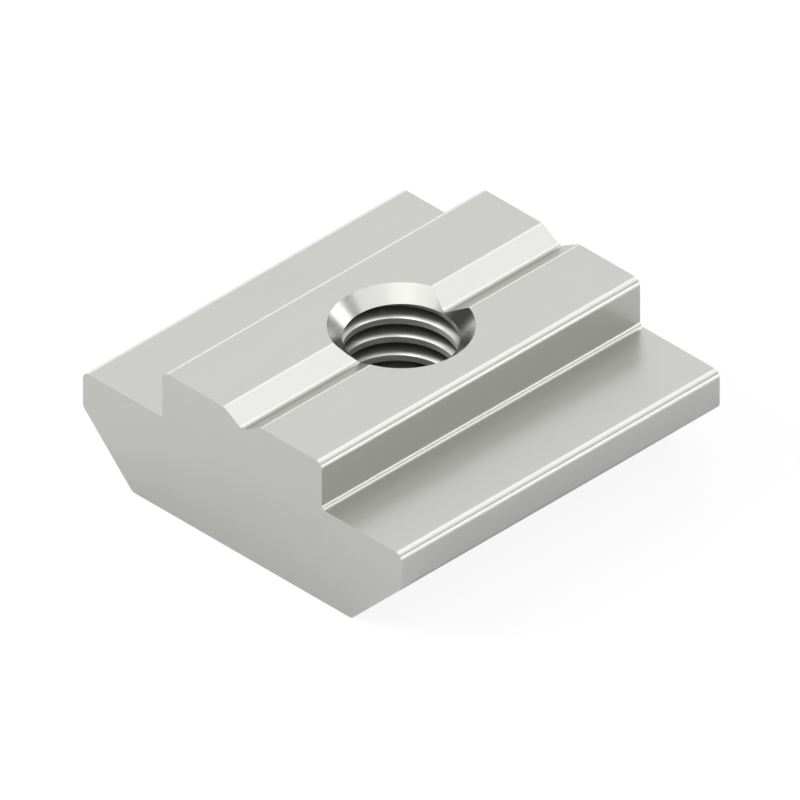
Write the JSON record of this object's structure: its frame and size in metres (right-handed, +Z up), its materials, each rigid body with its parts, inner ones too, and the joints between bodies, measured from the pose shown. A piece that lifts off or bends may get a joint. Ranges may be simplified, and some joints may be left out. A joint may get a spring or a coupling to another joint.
{
  "type": "t slot nut",
  "caption": "Steel sliding block with a T-shaped section, bevelled flange, V groove along its top face and a countersunk tapped hole through its middle.",
  "frame": {"origin": "where the axis of the tapped hole meets the underside, which is the middle of the base", "axes": "+Z up along the hole, from the underside to the top of the neck; Y along the slot and the V groove; X across the flange"},
  "size_m": [0.016, 0.016, 0.006],
  "materials": {
    "plated_steel": "bright plated steel with drawn, satin faces and bright rounded edges"
  },
  "bodies": {
    "root": {"slot_nut": "plated_steel"}
  },
  "joints": []
}
